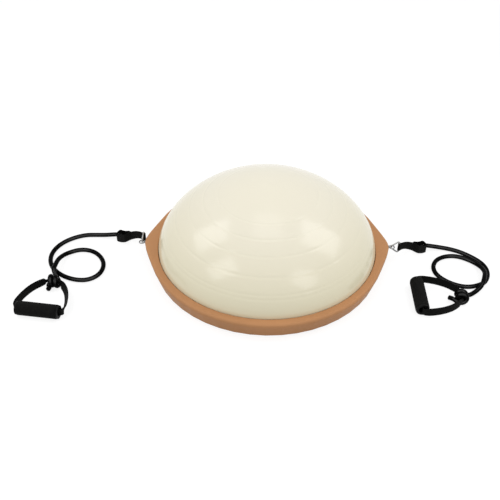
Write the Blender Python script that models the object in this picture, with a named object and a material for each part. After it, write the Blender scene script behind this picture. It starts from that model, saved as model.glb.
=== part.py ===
"""Half ball balance trainer with two resistance bands, built as separate named pieces.

Metres, +Z up. The floor is z = 0, X runs through the two ears, and the origin is the centre
of the underside. Each band starts at an ear: eye bolt, snap hook, webbing sleeve, rubber tube,
knot and handle, laid on the floor beside the dome.
"""
import math

import bpy
import bmesh
from mathutils import Matrix, Vector

# Driving dimensions
BASE_R = 0.2900          # radius of the base at the floor
LIP_STEP = 0.0102        # how far the rim's lip stands out from the foot
RIM_TOP = 0.0460         # height of the rim and of the ears
RIM_UNDER = 0.0350       # underside of the lip and of the ears
RIM_WALL = 0.0098        # the rim's wall at the foot
EAR_STEP = 0.0103        # an ear's straight flank, measured from the foot
EAR_FLANK = 22.2         # direction of that flank's normal, degrees from X
EAR_TIP_SOFT = 4.5       # rounding of the ear's tip, degrees
DECK_Z = (0.0120, 0.0160)
LAND_Z = 0.0040          # height of the lands that carry the feet
LAND_WIDE = 0.0320       # width of the outer land
DOME_GAP = 0.0013        # between the dome and the rim
DOME_TOP = 0.2280
DOME_SKIN = 0.0030
DOME_TUCK = 0.0085       # how far the dome draws in below the rim
DOME_SQUARE = (1.76, 1.676)      # exponents of the dome's outline, across and up
FOOT_COUNT = 6
FOOT_R = 0.0120
HUB_R = 0.0340           # the land in the middle of the underside
RIB_RING_R = 0.1150
RIB_T = 0.0040
VALVE_POS = (0.0, -0.150)
TUBE_R = 0.0058
WIRE_R = 0.0020
GRIP_R = 0.0172
GRIP_HALF = 0.0490
STRAP_REACH = 0.1035     # grip axis to the strap's top
STRAP_T = 0.0024
STRAP_HALF_W = 0.0100    # half the strap's width
STRAP_SPREAD = 0.0600    # half the distance between the strap's legs
CORE_R = (0.0102, 0.0120)
STRAP_BUNCH = (0.0029, 0.0037)       # half thickness and half width where the knot holds it
COLLAR_T = 0.0027
CLEAR = 0.0003

# The strap's leg, from the grip's end to near the top, in shares of its reach and spread
STRAP_LEG = [(0.200, 0.985), (0.330, 0.945), (0.460, 0.887), (0.590, 0.803), (0.700, 0.708),
             (0.800, 0.588), (0.880, 0.466), (0.940, 0.364), (0.975, 0.291), (0.995, 0.218),
             (1.0, 0.109)]

RIM_IN = BASE_R - RIM_WALL
LIP_R = BASE_R + LIP_STEP
EAR_FLAT = BASE_R + EAR_STEP
LAND_IN = RIM_IN - LAND_WIDE
FOOT_RING_R = RIM_IN - LAND_WIDE / 2
DOME_R = RIM_IN - DOME_GAP
DOME_FOOT_R = DOME_R - DOME_TUCK
HANDLE_Z = GRIP_R        # the handles lie on the floor on their grips
EYE_Z = (RIM_UNDER + RIM_TOP) / 2
EAR_TIP = EAR_FLAT / math.cos(math.radians(EAR_FLANK - EAR_TIP_SOFT))
EYE_RING_R = 0.0062
EYE_WIRE_R = 0.0018
EYE_COLLAR = 0.0014
SHANK_LEN = 0.0190       # how far the eye bolt's shank reaches into the ear
SHANK_R = 0.0025
SCREW_R = 0.0017
EYE_CENTER = EAR_TIP + CLEAR + EYE_COLLAR + 0.0012 + EYE_RING_R
HOOK_PLAY = 0.0006       # between the hook's wire and the eye
EYE_HANG = EYE_RING_R - EYE_WIRE_R - WIRE_R - HOOK_PLAY     # the hook's wire rests this far off centre

HOOK_NOSE_R = 0.0065      # the hook's end arc, which runs through the eye
HOOK_LEN = 0.0205
HOOK_CORNER_R = 0.0036
HOOK_BAR_HALF = 0.0122
SLEEVE_LEN = 0.0870
SLEEVE_END_Z = 0.0132     # height of the sleeve's far end
SLEEVE_HALF_W = (0.0109, 0.0126)     # half the webbing's width at the hook and at the tube
WEB_T = 0.0015
BALL_R = 0.0088
KNOT_WRAP = (0.0052 + TUBE_R, HANDLE_Z - TUBE_R - CLEAR)     # half width and half height of a turn
KNOT_PITCH = 2 * TUBE_R + 0.0007
KNOT_TURNS = 2

# Where each band lies: the side of the eye's centre on which the hook's wire rests, the direction
# of its hook, sleeve and handle, the side on which the tube enters the knot with the sideways lean
# of its two ends, its tail's length and rise, and the tube's route, with how far each point is
# lifted off the floor
SIDES = {
    "right": {
        "hang": -1.0,
        "hook_deg": 3.0,
        "sleeve_deg": 27.0,
        "grip": (0.3758, -0.1566),
        "handle_deg": 0.0,
        "knot": (1.0, 0.0030, 0.0110),
        "tail": (0.0310, 0.0070),
        "route": [(0.4400, 0.0436, 0.0050), (0.4625, 0.0436, 0.0014), (0.4870, 0.0388, 0.0000),
                  (0.5100, 0.0287, 0.0000), (0.5310, 0.0142, 0.0000), (0.5495, -0.0032, 0.0000),
                  (0.5625, -0.0218, 0.0000), (0.5682, -0.0435, 0.0000), (0.5650, -0.0680, 0.0000),
                  (0.5530, -0.0905, 0.0000), (0.5380, -0.1010, 0.0000), (0.5200, -0.1080, 0.0000),
                  (0.5010, -0.1100, 0.0000), (0.4800, -0.1050, 0.0000), (0.4590, -0.0930, 0.0000),
                  (0.4420, -0.0760, 0.0000), (0.4325, -0.0560, 0.0000), (0.4325, -0.0330, 0.0000),
                  (0.4430, -0.0110, 0.0000), (0.4620, 0.0035, 0.0000), (0.4840, 0.0095, 0.0000),
                  (0.5060, 0.0070, 0.0000), (0.5260, -0.0030, 0.0001), (0.5430, -0.0190, 0.0016),
                  (0.5530, -0.0380, 0.0052), (0.5560, -0.0570, 0.0097), (0.5545, -0.0740, 0.0125),
                  (0.5490, -0.0900, 0.0136), (0.5440, -0.1040, 0.0124), (0.5345, -0.1175, 0.0060),
                  (0.5205, -0.1290, 0.0012)],
    },
    "left": {
        "hang": 1.0,
        "hook_deg": 81.0,
        "sleeve_deg": 153.8,
        "grip": (-0.5390, -0.2350),
        "handle_deg": 83.0,
        "knot": (-1.0, -0.0080, 0.0060),
        "tail": (0.0220, 0.0030),
        "route": [(-0.4175, 0.0641, 0.0052), (-0.4370, 0.0665, 0.0018), (-0.4600, 0.0680, 0.0000),
                  (-0.4840, 0.0663, 0.0000), (-0.5050, 0.0590, 0.0000), (-0.5250, 0.0465, 0.0000),
                  (-0.5415, 0.0300, 0.0000), (-0.5535, 0.0090, 0.0000), (-0.5590, -0.0150, 0.0000),
                  (-0.5570, -0.0400, 0.0000), (-0.5480, -0.0630, 0.0000), (-0.5335, -0.0820, 0.0000),
                  (-0.5150, -0.0975, 0.0000), (-0.4935, -0.1085, 0.0000), (-0.4715, -0.1140, 0.0000),
                  (-0.4510, -0.1130, 0.0000), (-0.4340, -0.1040, 0.0000), (-0.4220, -0.0880, 0.0000),
                  (-0.4175, -0.0670, 0.0000), (-0.4205, -0.0450, 0.0000), (-0.4320, -0.0230, 0.0000),
                  (-0.4490, -0.0060, 0.0000), (-0.4700, 0.0030, 0.0000), (-0.4910, 0.0030, 0.0000),
                  (-0.5090, -0.0050, 0.0003), (-0.5230, -0.0210, 0.0042), (-0.5305, -0.0400, 0.0092),
                  (-0.5335, -0.0570, 0.0126), (-0.5342, -0.0740, 0.0142), (-0.5343, -0.0930, 0.0138)],
    },
}

for old in list(bpy.data.objects):
    bpy.data.objects.remove(old, do_unlink=True)


def material(name, color, rough, metal=0.0):
    mat = bpy.data.materials.new(name)
    mat.use_nodes = True
    shader = mat.node_tree.nodes["Principled BSDF"]
    shader.inputs["Base Color"].default_value = (*color, 1.0)
    shader.inputs["Roughness"].default_value = rough
    shader.inputs["Metallic"].default_value = metal
    mat.diffuse_color = (*color, 1.0)
    return mat


TAN = ((0.51, 0.26, 0.13), 0.45)
CREAM = ((0.84, 0.79, 0.64), 0.30)
BLACK_RUBBER = ((0.012, 0.012, 0.012), 0.45)
BLACK_WEB = ((0.015, 0.015, 0.016), 0.75)
BLACK_FOAM = ((0.018, 0.018, 0.018), 0.90)
GREY_RUBBER = ((0.08, 0.08, 0.08), 0.85)
STEEL = ((0.62, 0.62, 0.62), 0.25, 1.0)
BLACK_PLASTIC = ((0.02, 0.02, 0.02), 0.40)


def finish(obj, look, pivot=None):
    """Give the piece its own material, and put its origin on the pivot."""
    obj.data.materials.append(material(obj.name + "_mat", *look))
    if pivot is not None:
        move = Matrix.Translation(-Vector(pivot))
        obj.data.transform(move)
        obj.location = pivot
    return obj


def mesh_object(name, verts, faces, smooth=40.0):
    """A closed mesh with outward faces; edges flatter than the angle are shaded smooth."""
    mesh = bpy.data.meshes.new(name)
    mesh.from_pydata([tuple(v) for v in verts], [], faces)
    bm = bmesh.new()
    bm.from_mesh(mesh)
    bmesh.ops.recalc_face_normals(bm, faces=bm.faces)
    for edge in bm.edges:
        edge.smooth = edge.calc_face_angle(0.0) < math.radians(smooth)
    for face in bm.faces:
        face.smooth = True
    bm.to_mesh(mesh)
    bm.free()
    obj = bpy.data.objects.new(name, mesh)
    bpy.context.scene.collection.objects.link(obj)
    return obj


def axes(origin, along, up=(0.0, 0.0, 1.0)):
    """Matrix whose Z runs along the given direction and whose X is as near as it can be to up."""
    z_axis = Vector(along).normalized()
    x_axis = (Vector(up) - Vector(up).dot(z_axis) * z_axis).normalized()
    y_axis = z_axis.cross(x_axis)
    frame = Matrix((x_axis, y_axis, z_axis)).transposed().to_4x4()
    frame.translation = Vector(origin)
    return frame


def lathe(name, profile, segments, frame=None, closed=False, smooth=40.0):
    """Turn a profile of (radius, height) about Z. It ends on the axis, or closes on itself.

    Segments is a count, or the list of angles to use. The profile can be a function of the angle.
    """
    turns = segments
    if isinstance(segments, int):
        turns = [2 * math.pi * k / segments for k in range(segments)]
    profiles = [profile(a) if callable(profile) else profile for a in turns]
    verts = []
    rings = []
    for j, (radius, height) in enumerate(profiles[0]):
        if radius < 1e-7:
            rings.append([len(verts)])
            verts.append(Vector((0.0, 0.0, height)))
            continue
        rings.append(list(range(len(verts), len(verts) + len(turns))))
        for turn, outline in zip(turns, profiles):
            radius, height = outline[j]
            verts.append(Vector((radius * math.cos(turn), radius * math.sin(turn), height)))
    if frame is not None:
        verts = [frame @ v for v in verts]
    return mesh_object(name, verts, ring_faces(rings, len(turns), closed), smooth)


def ring_faces(rings, segments, closed):
    """Faces between neighbouring rings; a ring of one vertex is a pole."""
    faces = []
    pairs = list(zip(rings, rings[1:]))
    if closed:
        pairs.append((rings[-1], rings[0]))
    for low, high in pairs:
        for k in range(segments):
            n = (k + 1) % segments
            quad = [low[k % len(low)], low[n % len(low)], high[n % len(high)], high[k % len(high)]]
            quad = list(dict.fromkeys(quad))
            if len(quad) > 2:
                faces.append(quad)
    return faces


def sweep(name, sections, closed=False, smooth=40.0):
    """Join a list of cross-sections, each a list of points, into one closed solid."""
    count = len(sections[0])
    verts = [p for section in sections for p in section]
    rings = [list(range(i * count, (i + 1) * count)) for i in range(len(sections))]
    faces = ring_faces(rings, count, closed)
    if not closed:
        faces += [rings[0][::-1], rings[-1]]
    return mesh_object(name, verts, faces, smooth)


def round_sections(path, radius, sides, closed=False):
    """Circles along a path, carried from point to point without twist."""
    points = [Vector(p) for p in path]
    count = len(points)
    tangents = []
    for i in range(count):
        before = points[i - 1] if i or closed else points[i]
        after = points[(i + 1) % count] if i < count - 1 or closed else points[i]
        tangents.append((after - before).normalized())
    normal = tangents[0].orthogonal().normalized()
    sections = []
    for point, tangent in zip(points, tangents):
        normal = (normal - normal.dot(tangent) * tangent).normalized()
        side = tangent.cross(normal)
        sections.append([point + radius * (math.cos(a) * normal + math.sin(a) * side)
                         for a in (2 * math.pi * k / sides for k in range(sides))])
    return sections


def prism(name, outline, z_low, z_high):
    """Extrude a flat outline between two heights."""
    return sweep(name, [[Vector((x, y, z)) for x, y in outline] for z in (z_low, z_high)])


def rod(name, start, end, radius, segments=20):
    start = Vector(start)
    length = (Vector(end) - start).length
    frame = axes(start, Vector(end) - start, (0.31, 0.17, 0.93))
    return lathe(name, [(0, 0), (radius, 0), (radius, length), (0, length)], segments, frame)


def block(name, frame, size):
    """A box of the given full size centred on a frame."""
    half = [s / 2 for s in size]
    sections = []
    for z in (-half[2], half[2]):
        corners = [(-half[0], -half[1]), (half[0], -half[1]), (half[0], half[1]), (-half[0], half[1])]
        sections.append([frame @ Vector((x, y, z)) for x, y in corners])
    return sweep(name, sections)


def cut(obj, tool, operation="DIFFERENCE"):
    """Boolean with a helper that is never rendered."""
    tool.hide_render = True
    tool.display_type = "WIRE"
    mod = obj.modifiers.new(tool.name, "BOOLEAN")
    mod.object = tool
    mod.operation = operation
    mod.solver = "EXACT"
    return obj


def smoothstep(t):
    t = max(0.0, min(1.0, t))
    return t * t * (3 - 2 * t)


def spline(points, count):
    """Evenly spaced points on a Catmull-Rom curve through the given points."""
    pts = [Vector(p) for p in points]
    pts = [2 * pts[0] - pts[1]] + pts + [2 * pts[-1] - pts[-2]]
    fine = []
    for i in range(1, len(pts) - 2):
        a, b, c, d = pts[i - 1:i + 3]
        for k in range(16):
            t = k / 16
            fine.append(0.5 * (2 * b + (c - a) * t + (2 * a - 5 * b + 4 * c - d) * t ** 2
                               + (3 * b - a - 3 * c + d) * t ** 3))
    fine.append(pts[-2])
    run = [0.0]
    for a, b in zip(fine, fine[1:]):
        run.append(run[-1] + (b - a).length)
    out = []
    j = 0
    for i in range(count):
        goal = run[-1] * i / (count - 1)
        while j < len(run) - 2 and run[j + 1] < goal:
            j += 1
        t = (goal - run[j]) / (run[j + 1] - run[j])
        out.append(fine[j].lerp(fine[j + 1], t))
    return out


def least_gap(points):
    """Least surface distance between stretches of tube more than four diameters apart."""
    fine = []
    for a, b in zip(points, points[1:]):
        fine += [a.lerp(b, k / 4) for k in range(4)]
    step = (points[1] - points[0]).length / 4
    skip = int(8 * TUBE_R / step)
    pairs = ((a - b).length for i, a in enumerate(fine) for b in fine[i + skip:])
    return min(pairs) - 2 * TUBE_R


# Base
def ear_radius(angle):
    """Outer radius of the lip at a direction, with an ear along +X and one along -X."""
    off = math.degrees(math.acos(abs(math.cos(angle))))
    if off > EAR_FLANK:
        return LIP_R
    soft = math.hypot(off, EAR_TIP_SOFT)
    return max(LIP_R, EAR_FLAT / math.cos(math.radians(EAR_FLANK - soft)))


def base_angles():
    """Directions shared by all the large round pieces, closer together on the ears."""
    quarter = [0.0, 2.0, 5.0, 8.5, 12.5, 16.5]
    quarter += [16.5 + 7.35 * k for k in range(1, 11)]
    half = quarter[:-1] + [180.0 - q for q in reversed(quarter)][:-1]
    return [math.radians(a) for a in half + [a + 180.0 for a in half]]


def base_profile(angle):
    outer = ear_radius(angle)
    lip = 0.0060 - 0.20 * (outer - LIP_R)
    arc = []
    for k in range(4):
        turn = math.pi / 2 * k / 3
        arc.append((outer - lip + lip * math.cos(turn), RIM_TOP - lip + lip * math.sin(turn)))
    deck_low, deck_high = DECK_Z
    rib_in = RIB_RING_R - RIB_T / 2
    rib_out = RIB_RING_R + RIB_T / 2
    ribs = [(rib_in, deck_low), (rib_in, LAND_Z), (rib_out, LAND_Z), (rib_out, deck_low)]
    return [(0, LAND_Z), (HUB_R, LAND_Z), (HUB_R, deck_low)] + ribs + [
        (LAND_IN, deck_low), (LAND_IN, LAND_Z), (RIM_IN, LAND_Z), (RIM_IN + 0.001, 0.002),
        (BASE_R - 0.001, 0.002), (BASE_R, 0.003), (LIP_R - 0.0012, RIM_UNDER - 0.0010),
        (outer - 0.0006, RIM_UNDER)] + arc + [
        (RIM_IN + 0.0010, RIM_TOP), (RIM_IN, RIM_TOP - 0.0010), (RIM_IN, deck_high), (0, deck_high)]


def build_base():
    base = lathe("base_platform", base_profile, base_angles(), smooth=30.0)
    rib_z = (LAND_Z + DECK_Z[0]) / 2
    rib_from = HUB_R - 0.0030
    rib_to = LAND_IN + 0.0030
    for k in range(6):
        turn = math.radians(60 * k)
        direction = Vector((math.cos(turn), math.sin(turn), 0))
        frame = axes(direction * (rib_from + rib_to) / 2 + Vector((0, 0, rib_z + 0.0005)), direction)
        size = (DECK_Z[0] - LAND_Z + 0.0010, RIB_T, rib_to - rib_from)
        cut(base, block(f"rib_tool_{k}", frame, size), "UNION")
    for sx in (1.0, -1.0):
        for sy in (1.0, -1.0):
            pocket = [(0.0050, 0.0048), (0.0, 0.0300), (-0.0190, 0.0270), (-0.0160, 0.0048)]
            outline = [(sx * (EAR_TIP + x), sy * y) for x, y in pocket]
            cut(base, prism(f"pocket_tool_{sx:.0f}_{sy:.0f}", outline, EYE_Z - 0.0025, EYE_Z + 0.0025))
        cut(base, rod(f"shank_tool_{sx:.0f}", (sx * (EAR_TIP - SHANK_LEN - 0.0012), 0, EYE_Z),
                      (sx * (EAR_TIP + 0.0150), 0, EYE_Z), SHANK_R + CLEAR))
    cut(base, rod("valve_tool", (*VALVE_POS, 0.0), (*VALVE_POS, DECK_Z[1] + 0.0040), 0.0125, 20))
    for k in range(FOOT_COUNT):
        x, y = foot_center(k)
        cut(base, rod(f"screw_tool_{k}", (x, y, 0.0), (x, y, LAND_Z + 0.0070), SCREW_R + CLEAR, 12))
    return finish(base, TAN)


def foot_center(k):
    turn = 2 * math.pi * k / FOOT_COUNT
    return FOOT_RING_R * math.cos(turn), FOOT_RING_R * math.sin(turn)


def build_feet():
    top = LAND_Z - CLEAR
    for k in range(FOOT_COUNT):
        frame = Matrix.Translation((*foot_center(k), 0.0))
        hole = SCREW_R + 0.0004
        profile = [(0.0040, 0), (FOOT_R - 0.0006, 0), (FOOT_R, 0.0006), (FOOT_R, top), (hole, top),
                   (hole, 0.0024), (0.0040, 0.0024)]
        finish(lathe(f"foot_{k + 1}", profile, 14, frame, closed=True), GREY_RUBBER)
        head = [(0, 0.0004), (0.0026, 0.0004), (0.0036, 0.0012), (0.0036, 0.0021), (SCREW_R, 0.0021),
                (SCREW_R, LAND_Z + 0.0058), (0, LAND_Z + 0.0067)]
        finish(lathe(f"foot_screw_{k + 1}", head, 8, frame), STEEL)
    pad_r = HUB_R - 0.0040
    pad = [(0, 0), (pad_r - 0.0006, 0), (pad_r, 0.0006), (pad_r, top), (0, top)]
    finish(lathe("center_pad", pad, 28), GREY_RUBBER)


# Dome and bladder
def dome_profile():
    """Outer outline from the clamped flange to the top, then the inner one back down."""
    low = DECK_Z[1] + CLEAR
    flange_top = low + DOME_SKIN + CLEAR
    flange_r = RIM_IN - 0.0010
    across, upward = DOME_SQUARE
    outer = [(flange_r, low), (flange_r, flange_top), (DOME_FOOT_R, flange_top)]
    outer += [(DOME_R - DOME_TUCK * (1 - t) ** 2, flange_top + (RIM_TOP - flange_top) * t)
              for t in (0.25, 0.5, 0.75)]
    inner = [(DOME_FOOT_R - DOME_SKIN, low)]
    steps = 13
    for k in range(steps + 1):
        turn = math.pi / 2 * k / steps
        radius = DOME_R * math.cos(turn) ** (2 / across) if k < steps else 0.0
        outer.append((radius, RIM_TOP + (DOME_TOP - RIM_TOP) * math.sin(turn) ** (2 / upward)))
    for k in range(7):
        turn = math.pi / 2 * k / 6
        radius = (DOME_R - DOME_SKIN) * math.cos(turn) ** (2 / across) if k < 6 else 0.0
        rise = DOME_TOP - DOME_SKIN - RIM_TOP
        inner.append((radius, RIM_TOP + rise * math.sin(turn) ** (2 / upward)))
    return inner[::-1], outer


def build_dome():
    inner, outer = dome_profile()
    finish(lathe("dome", inner + outer, base_angles()), CREAM)
    low = DECK_Z[1] + DOME_SKIN + 3 * CLEAR
    high = low + 0.0070
    ring_in = RIM_IN - 0.0042
    ring_out = RIM_IN - CLEAR
    ring = [(ring_in, low), (ring_out, low), (ring_out, high - 0.0006), (ring_out - 0.0006, high),
            (ring_in, high)]
    finish(lathe("clamp_ring", ring, base_angles(), closed=True), TAN)
    low = DECK_Z[1] + CLEAR
    floor_r = DOME_FOOT_R - DOME_SKIN - CLEAR
    floor = lathe("bladder_floor", [(0, low), (floor_r, low), (floor_r, low + 0.0020), (0, low + 0.0020)],
                  base_angles())
    cut(floor, rod("floor_tool", (*VALVE_POS, low - 0.0060), (*VALVE_POS, low + 0.0080), 0.0084, 20))
    finish(floor, CREAM)


def build_valve():
    frame = Matrix.Translation((*VALVE_POS, 0.0))
    floor_top = DECK_Z[1] + CLEAR + 0.0020
    body_low = DECK_Z[0] - 0.0025
    body = [(0.0048, body_low), (0.0080, body_low), (0.0080, floor_top + CLEAR),
            (0.0145, floor_top + CLEAR), (0.0145, floor_top + 0.0022), (0.0048, floor_top + 0.0022)]
    finish(lathe("valve_body", body, 20, frame, closed=True), CREAM)
    seat = body_low - CLEAR
    plug = [(0, seat - 0.0022), (0.0098, seat - 0.0022), (0.0105, seat - 0.0015), (0.0105, seat),
            (0.0044, seat), (0.0044, seat + 0.0086), (0.0036, seat + 0.0094), (0, seat + 0.0094)]
    finish(lathe("valve_plug", plug, 20, frame), CREAM, (*VALVE_POS, seat))


# Eye bolt and snap hook
def outward(side):
    """Direction of a side along X."""
    return 1 if side == "right" else -1


def build_eye(side):
    sx = outward(side)
    ring = [(EYE_RING_R + EYE_WIRE_R * math.cos(a), EYE_WIRE_R * math.sin(a))
            for a in (2 * math.pi * k / 8 for k in range(8))]
    center = Matrix.Translation((sx * EYE_CENTER, 0, EYE_Z))
    eye = lathe(f"eye_bolt_{side}", ring, 22, center, closed=True)
    back = EAR_TIP + CLEAR
    tip = EYE_CENTER - EYE_RING_R + 0.0003
    start = EAR_TIP - SHANK_LEN
    profile = [(0, start), (SHANK_R - 0.0005, start), (SHANK_R, start + 0.0008), (SHANK_R, back),
               (0.0042, back), (0.0042, back + EYE_COLLAR - 0.0004), (0.0038, back + EYE_COLLAR),
               (0.0017, back + EYE_COLLAR), (0.0017, tip), (0, tip)]
    shank = lathe(f"shank_{side}_tool", profile, 12, axes((0, 0, EYE_Z), (sx, 0, 0)))
    finish(cut(eye, shank, "UNION"), STEEL)


def hook_plane(side):
    """Frame of a hook: X along it from the eye, Y sideways, Z up, origin where it hangs."""
    data = SIDES[side]
    eye = Matrix.Translation((outward(side) * EYE_CENTER, 0, EYE_Z))
    rest = Matrix.Translation((data["hang"] * EYE_HANG, 0, 0))
    return eye @ Matrix.Rotation(math.radians(data["hook_deg"]), 4, "Z") @ rest


def hook_corners():
    """Tangent points of the hook's sloping sides, for the upper side."""
    nose = Vector((HOOK_NOSE_R, 0, 0))
    corner = Vector((HOOK_LEN - HOOK_CORNER_R, 0, HOOK_BAR_HALF))
    link = corner - nose
    slope = math.atan2(link.z, link.x) + math.acos((HOOK_NOSE_R - HOOK_CORNER_R) / link.length)
    normal = Vector((math.cos(slope), 0, math.sin(slope)))
    return nose, corner, slope, nose + HOOK_NOSE_R * normal, corner + HOOK_CORNER_R * normal


def arc_points(center, radius, start, end, count):
    return [center + radius * Vector((math.cos(a), 0, math.sin(a)))
            for a in (start + (end - start) * k / count for k in range(count + 1))]


def build_hook(side):
    frame = hook_plane(side)
    pivot = frame.translation
    nose, corner, slope, top_front, top_back = hook_corners()
    low_corner = Vector((corner.x, 0, -corner.z))
    run = (top_back - top_front).normalized()
    pin = top_back - 0.0030 * run
    gate_tip = top_front + 0.0035 * run
    path = [gate_tip - 0.0004 * run, top_front + 0.0015 * run]
    path += arc_points(nose, HOOK_NOSE_R, slope, 2 * math.pi - slope, 12)
    path += arc_points(low_corner, HOOK_CORNER_R, -slope, 0, 5)
    path += arc_points(corner, HOOK_CORNER_R, 0, slope, 5)
    path += [pin + 0.0010 * run, pin - 0.0012 * run]
    body = sweep(f"hook_{side}", round_sections([frame @ p for p in path], WIRE_R, 10))
    tilt = frame @ Matrix.Translation(pin) @ Matrix.Rotation(-math.atan2(run.z, run.x), 4, "Y")
    for sign in (1, -1):
        cheek = block(f"cheek_{side}_{sign}_tool", tilt @ Matrix.Translation((0.0002, sign * 0.0017, 0)),
                      (0.0050, 0.0020, 0.0060))
        cut(body, cheek)
    sideways = frame.to_3x3() @ Vector((0, 1, 0))
    spot = frame @ pin
    cut(body, rod(f"eyelet_{side}_tool", spot - 0.004 * sideways, spot + 0.004 * sideways, 0.00075, 12))
    finish(body, STEEL, pivot)

    start = pin + 0.0012 * run
    gate = sweep(f"gate_{side}", round_sections([frame @ (start.lerp(gate_tip, k / 3)) for k in range(4)],
                                                 0.00185, 12))
    cut(gate, block(f"fork_{side}_tool", tilt @ Matrix.Translation((0.0010, 0, 0)), (0.0064, 0.0020, 0.0060)))
    cut(gate, rod(f"gatehole_{side}_tool", spot - 0.004 * sideways, spot + 0.004 * sideways, 0.00075, 12))
    finish(gate, STEEL, spot)
    pin_frame = axes(spot, sideways)
    profile = [(0, -0.0022), (0.0007, -0.0022), (0.0007, -0.00205), (0.00055, -0.00205),
               (0.00055, 0.00205), (0.0007, 0.00205), (0.0007, 0.0022), (0, 0.0022)]
    finish(lathe(f"gate_pin_{side}", profile, 12, pin_frame), STEEL, pivot)


# Webbing sleeve
def sleeve_plane(side):
    """Frame of a sleeve: X along it from the hook's bar, Y sideways, Z up."""
    data = SIDES[side]
    bar = hook_plane(side) @ Vector((HOOK_LEN, 0, 0))
    return Matrix.Translation(bar) @ Matrix.Rotation(math.radians(data["sleeve_deg"]), 4, "Z")


def sleeve_drop(along):
    """How far the webbing has sagged from the hook's height."""
    return -(EYE_Z - SLEEVE_END_Z) * smoothstep((along - 0.010) / (SLEEVE_LEN - 0.018))


def sleeve_path():
    """Middle line of the webbing, once round the hook's bar and round the stopper's pocket."""
    loop_r = WIRE_R + CLEAR + WEB_T / 2
    neck = WEB_T / 2 + 0.0002
    wide = BALL_R + 0.0004 + WEB_T / 2
    end = SLEEVE_LEN - WEB_T / 2
    half = []
    for k in range(7):
        turn = math.radians(180 - 22.5 * k)
        half.append((loop_r * math.cos(turn), loop_r * math.sin(turn)))
    half += [(0.0045, 0.0019), (0.0065, 0.0012), (0.0090, neck)]
    pocket = SLEEVE_LEN - 0.0280
    half += [(0.0090 + (pocket - 0.0270) * k / 5, neck) for k in range(1, 6)]
    half += [(pocket - 0.0180 * (1 - k / 8), neck + (wide - neck) * smoothstep(k / 8)) for k in range(1, 9)]
    half += [(pocket + 0.0070, wide), (pocket + 0.0140, wide)]
    corner = 0.0045
    for k in range(7):
        turn = math.pi / 2 * k / 6
        half.append((end - corner + corner * math.sin(turn), wide - corner + corner * math.cos(turn)))
    half += [(end, 0.0025)]
    lower = [(x, -y) for x, y in reversed(half[1:])]
    return half + [(end, 0.0)] + lower


def band_sections(path, size, middle):
    """Upright rectangles along a closed path in the XY plane; size gives half height and thickness."""
    count = len(path)
    sections = []
    for i, (x, y) in enumerate(path):
        before = Vector(path[i - 1])
        after = Vector(path[(i + 1) % count])
        tangent = (after - before).normalized()
        tall, thick = size(x, y)
        normal = Vector((tangent.y, -tangent.x)) * thick / 2
        mid = middle(x, y)
        sections.append([Vector((x + normal.x, y + normal.y, mid - tall)),
                         Vector((x + normal.x, y + normal.y, mid + tall)),
                         Vector((x - normal.x, y - normal.y, mid + tall)),
                         Vector((x - normal.x, y - normal.y, mid - tall))])
    return sections


def build_sleeve(side):
    frame = sleeve_plane(side)
    bar = frame.translation

    def size(x, y):
        narrow, wide = SLEEVE_HALF_W
        return narrow + (wide - narrow) * smoothstep((x - 0.034) / 0.026), WEB_T

    sections = band_sections(sleeve_path(), size, lambda x, y: sleeve_drop(x))
    sections = [[frame @ p for p in section] for section in sections]
    sleeve = sweep(f"sleeve_{side}", sections, closed=True, smooth=50.0)
    drop = sleeve_drop(SLEEVE_LEN)
    hole = [frame @ Vector((SLEEVE_LEN + d, 0, drop)) for d in (-0.006, 0.006)]
    cut(sleeve, rod(f"sleeve_hole_{side}_tool", hole[0], hole[1], TUBE_R + 0.0005, 20))
    finish(sleeve, BLACK_WEB, bar)
    ball_x = SLEEVE_LEN - WEB_T - 0.0004 - BALL_R
    ball = [(BALL_R * math.sin(a), ball_x - BALL_R * math.cos(a))
            for a in (math.pi * k / 12 for k in range(11)) if BALL_R * math.sin(a) > TUBE_R or a < 1.5]
    profile = [(r if r > 1e-7 else 0.0, s) for r, s in ball]
    profile += [(TUBE_R, ball_x + math.sqrt(BALL_R ** 2 - TUBE_R ** 2)), (TUBE_R, SLEEVE_LEN + 0.0005),
                (0, SLEEVE_LEN + 0.0005)]
    lie = frame @ Matrix.Translation((0, 0, drop)) @ Matrix.Rotation(math.pi / 2, 4, "Y")
    finish(lathe(f"stopper_{side}", profile, 14, lie), BLACK_RUBBER, bar)


# Rubber tube, knot and handle
def handle_plane(side):
    """Frame of a handle: X from the grip to the strap's top, Y along the grip, Z up."""
    data = SIDES[side]
    return Matrix.Translation((*data["grip"], HANDLE_Z)) @ Matrix.Rotation(
        math.radians(data["handle_deg"]), 4, "Z")


def knot_path(side):
    """The tube's turns round the top of the strap, from where it comes in to its short tail."""
    enter, lead_lean, tail_lean = SIDES[side]["knot"]
    tail, tail_rise = SIDES[side]["tail"]
    wide, low = KNOT_WRAP
    lead = wide + TUBE_R + 0.0008
    first = enter * KNOT_PITCH * KNOT_TURNS / 2
    points = [Vector((STRAP_REACH + lead * t, first + enter * lead_lean * t ** 2, -low))
              for t in (1.0, 0.66, 0.33)]
    steps = 16 * KNOT_TURNS
    for k in range(steps + 1):
        turn = 2 * math.pi * KNOT_TURNS * k / steps
        across = first - enter * KNOT_PITCH * KNOT_TURNS * k / steps
        points.append(Vector((STRAP_REACH - wide * math.sin(turn), across, -low * math.cos(turn))))
    for t in (0.25, 0.5, 0.75, 1.0):
        lean = enter * tail_lean * smoothstep((t - 0.15) / 0.60)
        points.append(Vector((STRAP_REACH - tail * t, -first + lean, -low + tail_rise * t ** 2)))
    return points


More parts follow.
